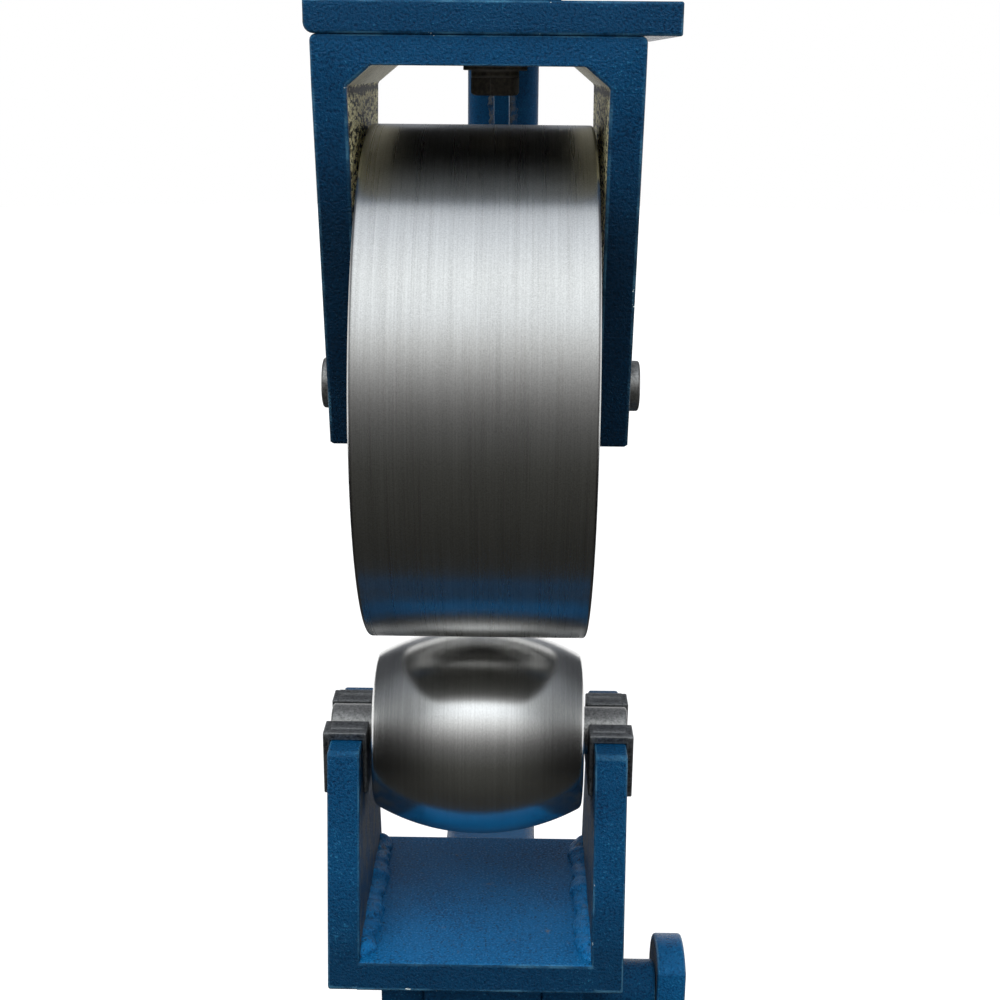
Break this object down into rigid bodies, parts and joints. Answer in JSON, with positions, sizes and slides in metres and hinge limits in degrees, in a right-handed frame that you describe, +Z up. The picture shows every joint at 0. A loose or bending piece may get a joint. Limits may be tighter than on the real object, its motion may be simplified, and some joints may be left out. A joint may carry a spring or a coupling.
{
  "type": "english wheel",
  "caption": "Floor-standing english wheel: a flat-faced upper wheel in a fork over a crowned anvil wheel in a quick-release yoke, on a C-frame with a raising ram.",
  "frame": {"origin": "on the floor, straight below the two wheels, on the underside of the base beam", "axes": "+X along the wheel axles towards the release lever, +Y back into the throat towards the column, +Z up"},
  "size_m": [0.72, 1.091, 1.4983],
  "materials": {
    "blue_paint": "hammered gloss enamel",
    "ground_steel": "fine ground",
    "polished_steel": "polished",
    "bare_steel": "bare, oiled and grainy",
    "bearing_steel": "bright",
    "black_oxide": "black oxide",
    "black_grip": "matte"
  },
  "bodies": {
    "frame": {"base_beam": "blue_paint", "front_foot": "blue_paint", "front_foot_ends": "blue_paint", "rear_foot": "blue_paint", "rear_foot_ends": "blue_paint", "column": "blue_paint", "column_cap": "blue_paint", "upper_arm": "blue_paint", "upper_arm_cap": "blue_paint", "lower_arm": "blue_paint", "upper_gusset": "blue_paint", "lower_gusset": "blue_paint", "foot_gussets": "blue_paint", "fork_pad": "blue_paint", "fork_top": "blue_paint", "fork_leg_left": "blue_paint", "fork_leg_right": "blue_paint", "fork_bolt": "black_oxide", "fork_washers": "black_oxide", "upper_axle": "bare_steel", "ram_sleeve": "blue_paint", "adjuster_nut": "bare_steel"},
    "upper_wheel_body": {"upper_wheel": "ground_steel", "upper_bearings": "bearing_steel"},
    "ram_body": {"ram_head": "blue_paint", "ram": "bare_steel", "adjuster_screw": "bare_steel", "kick_wheel": "blue_paint"},
    "lever_body": {"release_shaft": "blue_paint", "release_cam": "bare_steel", "release_lever": "blue_paint", "lever_grip": "black_grip"},
    "yoke_body": {"yoke_base": "blue_paint", "thrust_pad": "bare_steel", "guide_pins": "bare_steel", "yoke_lug_left": "blue_paint", "yoke_lug_right": "blue_paint", "yoke_side_left": "blue_paint", "yoke_side_right": "blue_paint", "yoke_welds": "blue_paint", "saddle_block_left": "bare_steel", "saddle_block_right": "bare_steel", "anvil_axle": "bare_steel"},
    "anvil_wheel_body": {"anvil_wheel": "polished_steel", "anvil_bearings": "bearing_steel"}
  },
  "joints": [
    {"name": "upper_wheel_spin", "type": "hinge", "parent": "frame", "child": "upper_wheel_body", "pos_m": [0, 0, 1.2], "axis": [1, 0, 0], "continuous": true},
    {"name": "ram_slide", "type": "slide", "parent": "frame", "child": "ram_body", "axis": [0, 0, 1], "range_m": [-0.06, 0.006]},
    {"name": "release_turn", "type": "hinge", "parent": "ram_body", "child": "lever_body", "pos_m": [0.0025, 0, 0.9239], "axis": [-1, 0, 0], "range_deg": [0, 90]},
    {"name": "yoke_drop", "type": "slide", "parent": "ram_body", "child": "yoke_body", "axis": [0, 0, -1], "range_m": [0, 0.006]},
    {"name": "anvil_wheel_spin", "type": "hinge", "parent": "yoke_body", "child": "anvil_wheel_body", "pos_m": [0, 0, 1.0501], "axis": [1, 0, 0], "continuous": true}
  ],
  "couplings": [
    {"joint": "yoke_drop", "follows": "release_turn", "m_per_rad": 0.0038197}
  ]
}
